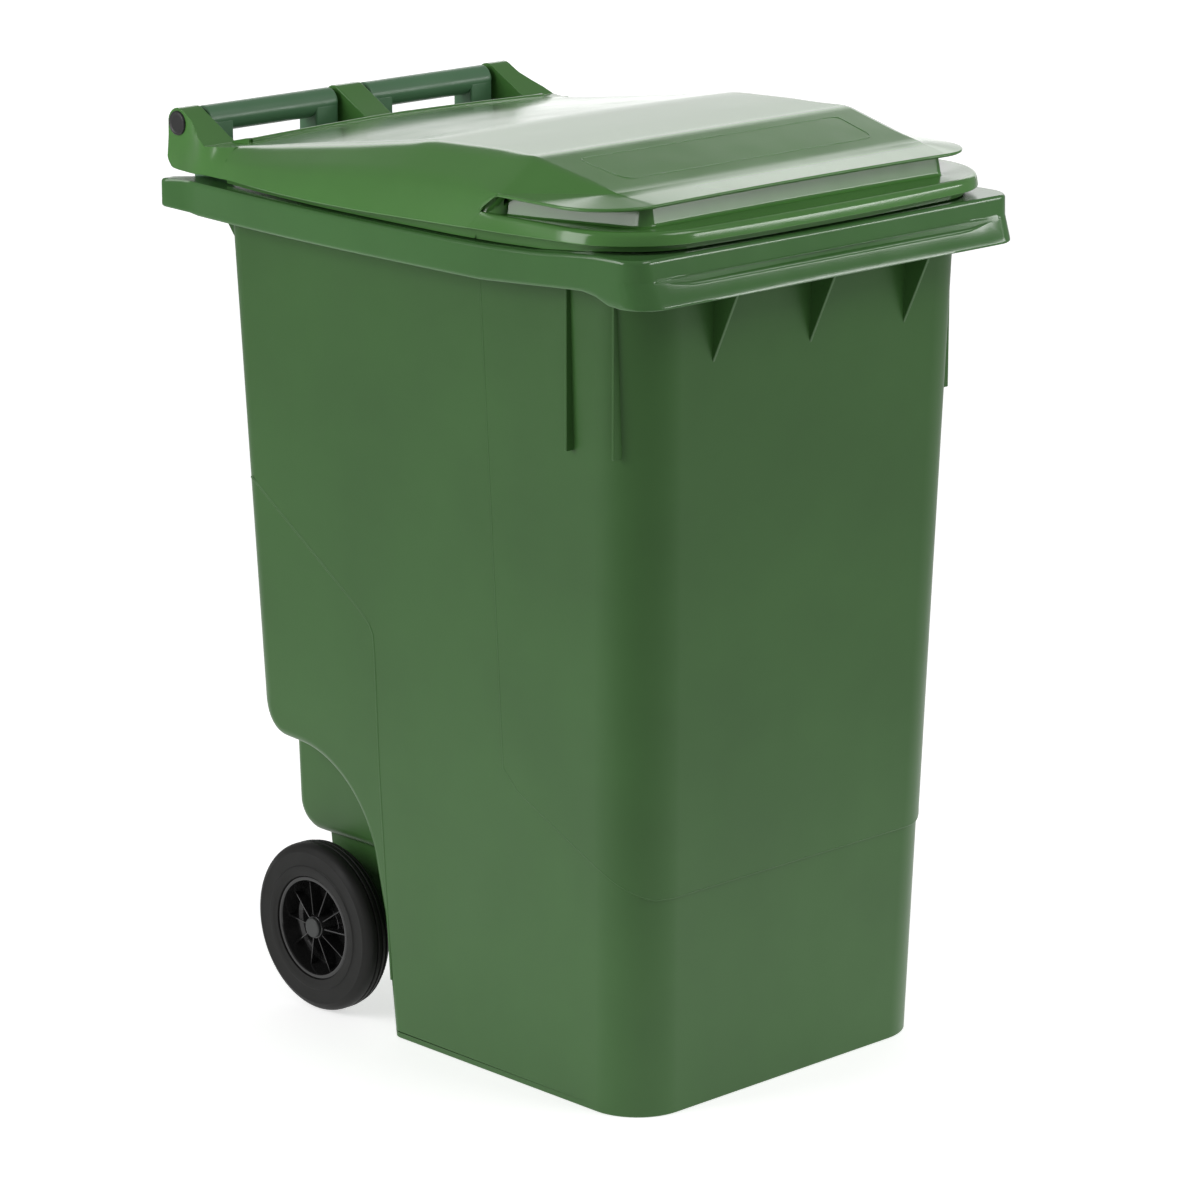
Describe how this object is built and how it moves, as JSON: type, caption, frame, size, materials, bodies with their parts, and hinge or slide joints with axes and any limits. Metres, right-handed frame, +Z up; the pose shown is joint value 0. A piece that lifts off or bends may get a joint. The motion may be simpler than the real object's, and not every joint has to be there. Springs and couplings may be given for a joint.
{
  "type": "wheelie bin",
  "caption": "Two-wheeled plastic refuse bin with a domed hinged lid, front lifting comb, rear bar handles and rubber-tyred wheels on a steel axle",
  "frame": {"origin": "middle of the footprint of the closed bin, on the ground", "axes": "+X right as seen from the front, +Y to the rear (handle and wheels), +Z up; the lifting comb faces -Y"},
  "size_m": [0.616, 0.843, 1.085],
  "materials": {
    "body_plastic": "semi-gloss moulded polyethylene with a fine grain",
    "lid_plastic": "glossy moulded polyethylene",
    "handle_plastic": "glossy, smooth to the hand",
    "pin_plastic": "matt black moulding",
    "hub_plastic": "glossy black moulding",
    "cap_plastic": "satin black moulding",
    "tyre": "matt black rubber",
    "steel": "zinc plated"
  },
  "bodies": {
    "bin": {"tub": "body_plastic", "rim": "body_plastic", "handle_left": "handle_plastic", "handle_right": "handle_plastic", "axle": "steel", "spacer_left": "cap_plastic", "spacer_right": "cap_plastic"},
    "lid": {"lid": "lid_plastic", "hinge_pin_left": "pin_plastic", "hinge_pin_right": "pin_plastic"},
    "wheel_left": {"tyre_left": "tyre", "hub_left": "hub_plastic", "cap_left": "cap_plastic", "latch_left": "steel", "spring_left": "steel"},
    "wheel_right": {"tyre_right": "tyre", "hub_right": "hub_plastic", "cap_right": "cap_plastic", "latch_right": "steel", "spring_right": "steel"}
  },
  "joints": [
    {"name": "lid_hinge", "type": "hinge", "parent": "bin", "child": "lid", "pos_m": [0, 0.4035, 1.05], "axis": [-1, 0, 0], "range_deg": [0, 270]},
    {"name": "wheel_left_spin", "type": "hinge", "parent": "bin", "child": "wheel_left", "pos_m": [-0.227, 0.1955, 0.103], "axis": [1, 0, 0], "continuous": true},
    {"name": "wheel_right_spin", "type": "hinge", "parent": "bin", "child": "wheel_right", "pos_m": [0.227, 0.1955, 0.103], "axis": [1, 0, 0], "continuous": true}
  ]
}
